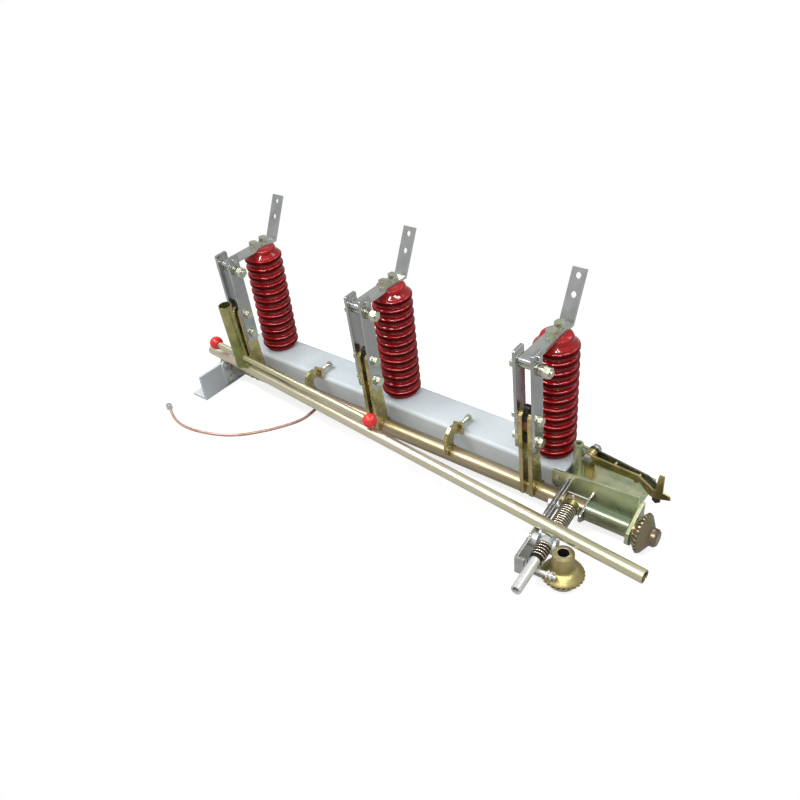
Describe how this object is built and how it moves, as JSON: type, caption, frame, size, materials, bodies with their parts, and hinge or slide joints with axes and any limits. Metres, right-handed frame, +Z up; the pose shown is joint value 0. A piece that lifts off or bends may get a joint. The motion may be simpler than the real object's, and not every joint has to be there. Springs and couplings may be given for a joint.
{
  "type": "indoor earthing switch",
  "caption": "Three-pole indoor earthing switch: ribbed post insulators on a beam, paired blades on a turning shaft, bevel gear drive, spring operating shaft, loose T-handle and tube.",
  "frame": {"origin": "centre of the four floor bolt holes of the beam, on the floor plane", "axes": "+X along the beam toward the drive end, +Y to the rear, away from the main shaft, +Z up along the insulators"},
  "size_m": [0.8731, 0.3, 0.3197],
  "materials": {
    "grey_paint": "satin grey enamel",
    "yellow_zinc": "yellow zinc passivation",
    "pink_zinc": "iridescent zinc passivation",
    "green_zinc": "green zinc passivation",
    "white_zinc": "bright zinc",
    "silver_plate": "satin silver-tin plating",
    "red_resin": "glossy dark red",
    "dark_steel": "dark",
    "spring_steel": "spring wire",
    "bronze": "bearing bronze",
    "red_ball": "gloss",
    "copper_wire": "clear sleeve on copper"
  },
  "bodies": {
    "base": {"beam": "grey_paint", "foot_angle": "grey_paint", "foot_bolts": "white_zinc", "bearing_plate": "grey_paint", "bearing_bolts": "white_zinc", "bush_left": "bronze", "bush_right": "bronze", "drive_bracket": "green_zinc", "bracket_bolts": "white_zinc", "end_plate": "green_zinc", "guide_plate": "white_zinc", "insulator_1": "red_resin", "insulator_2": "red_resin", "insulator_3": "red_resin", "base_bolts": "white_zinc", "top_inserts": "bronze", "contact_bar_1": "silver_plate", "contact_bar_2": "silver_plate", "contact_bar_3": "silver_plate", "contact_bolts": "white_zinc", "drive_straps": "white_zinc", "spring_seat": "white_zinc", "yoke": "white_zinc", "cross_pin": "white_zinc", "gear_stand": "white_zinc", "lever_bolt": "white_zinc", "lever_block": "yellow_zinc", "lock_barrel": "green_zinc", "earth_lugs": "white_zinc", "earth_wire": "copper_wire"},
    "shaft_group": {"main_shaft": "pink_zinc", "shaft_collar": "white_zinc", "shaft_sleeve": "green_zinc", "shaft_pin": "white_zinc", "arms_1": "yellow_zinc", "arms_2": "yellow_zinc", "arms_3": "yellow_zinc", "arm_spacers": "dark_steel", "blades_1": "silver_plate", "blades_2": "silver_plate", "blades_3": "silver_plate", "blade_bolts": "white_zinc", "clamp_bolts": "yellow_zinc", "clamp_springs": "dark_steel", "contact_rivets": "silver_plate", "stop_arms": "yellow_zinc", "stop_bolts": "white_zinc", "bevel_gear": "dark_steel", "gear_pin": "white_zinc"},
    "operating_group": {"operating_shaft": "white_zinc", "drive_collar": "yellow_zinc", "return_spring": "spring_steel", "torsion_spring": "spring_steel"},
    "second_gear": {"free_gear": "yellow_zinc"},
    "interlock_lever": {"lever": "yellow_zinc"},
    "handle": {"handle_tube": "yellow_zinc"},
    "cross_bar": {"handle_rod": "yellow_zinc", "handle_knobs": "red_ball"},
    "long_tube": {"extension_tube": "yellow_zinc"}
  },
  "joints": [
    {"name": "shaft_turn", "type": "hinge", "parent": "base", "child": "shaft_group", "pos_m": [0, -0.053, 0.032], "axis": [1, 0, 0], "range_deg": [0, 80]},
    {"name": "operating_turn", "type": "hinge", "parent": "base", "child": "operating_group", "pos_m": [0.35122, -0.15262, 0.045], "axis": [0.0872, -0.9962, 0], "range_deg": [0, 90], "stiffness_Nm_per_rad": 0.3},
    {"name": "second_gear_turn", "type": "hinge", "parent": "base", "child": "second_gear", "pos_m": [0.38002, -0.15602, 0.03], "axis": [0, 0, 1], "continuous": true},
    {"name": "lever_lift", "type": "hinge", "parent": "base", "child": "interlock_lever", "pos_m": [0.335, 0.002, 0.078], "axis": [0, -1, 0], "range_deg": [0, 25]},
    {"name": "handle_lift_off", "type": "slide", "parent": "base", "child": "handle", "axis": [0, -1, 0], "range_m": [0, 0.36]},
    {"name": "cross_bar_slide", "type": "slide", "parent": "handle", "child": "cross_bar", "axis": [0.998, -0.0575, -0.0246], "range_m": [-0.27, 0.012]},
    {"name": "tube_take_away", "type": "slide", "parent": "base", "child": "long_tube", "axis": [0, -1, 0], "range_m": [0, 0.36]}
  ],
  "couplings": [
    {"joint": "handle_lift_off", "follows": "shaft_turn", "m_per_rad": 0.25},
    {"joint": "tube_take_away", "follows": "shaft_turn", "m_per_rad": 0.25}
  ]
}
